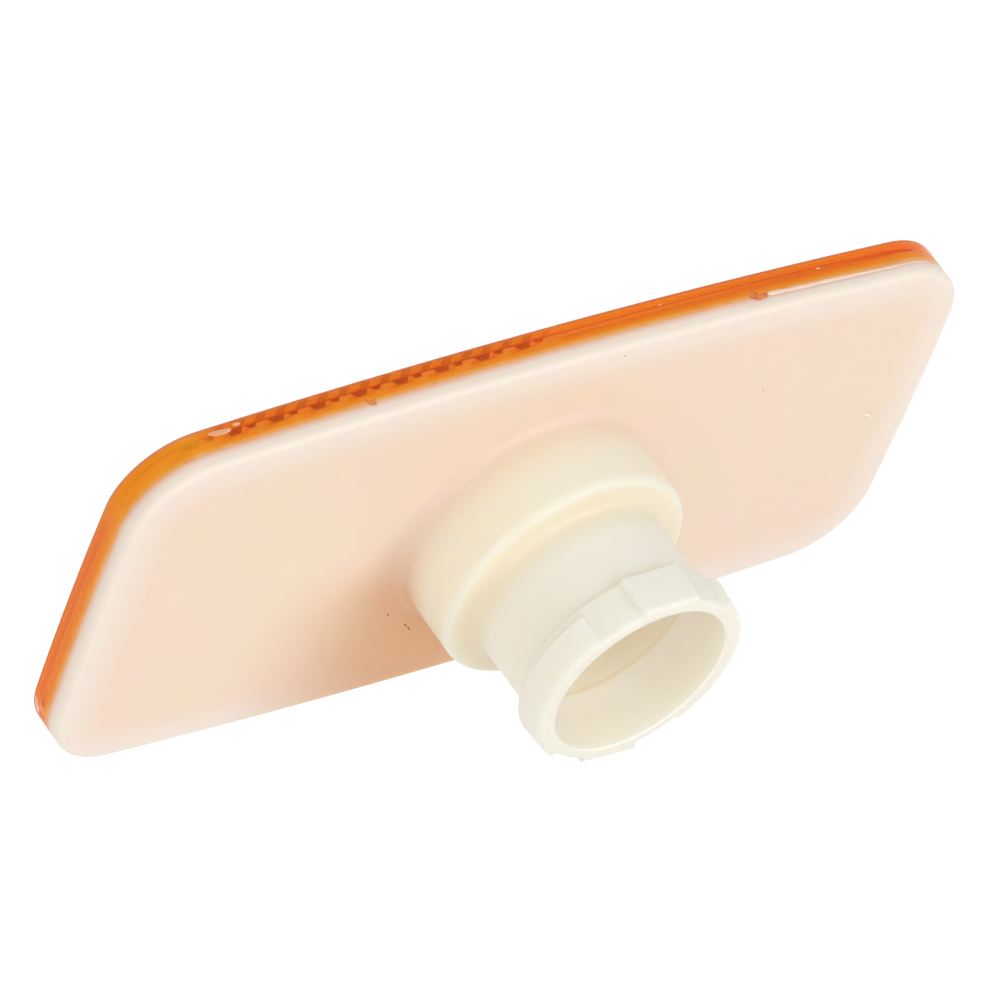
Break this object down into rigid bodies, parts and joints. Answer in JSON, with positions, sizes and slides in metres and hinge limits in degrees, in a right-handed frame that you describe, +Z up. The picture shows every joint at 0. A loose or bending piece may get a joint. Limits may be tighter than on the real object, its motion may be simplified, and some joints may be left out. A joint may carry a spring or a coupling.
{
  "type": "side repeater lamp",
  "caption": "Flat rectangular side repeater lamp: amber lens on a pale moulded housing, with a round collar and a lugged bulb socket at the back.",
  "frame": {"origin": "on the socket's axis, in the plane of the housing's flat back face", "axes": "+X along the lamp, +Y along the socket towards the inside of the vehicle, +Z up; the lens faces -Y"},
  "size_m": [0.098, 0.0274, 0.0446],
  "materials": {
    "housing": "pale cream translucent moulding, satin",
    "lens": "clear amber moulding, glossy"
  },
  "bodies": {
    "root": {"housing": "housing", "lens": "lens"}
  },
  "joints": []
}
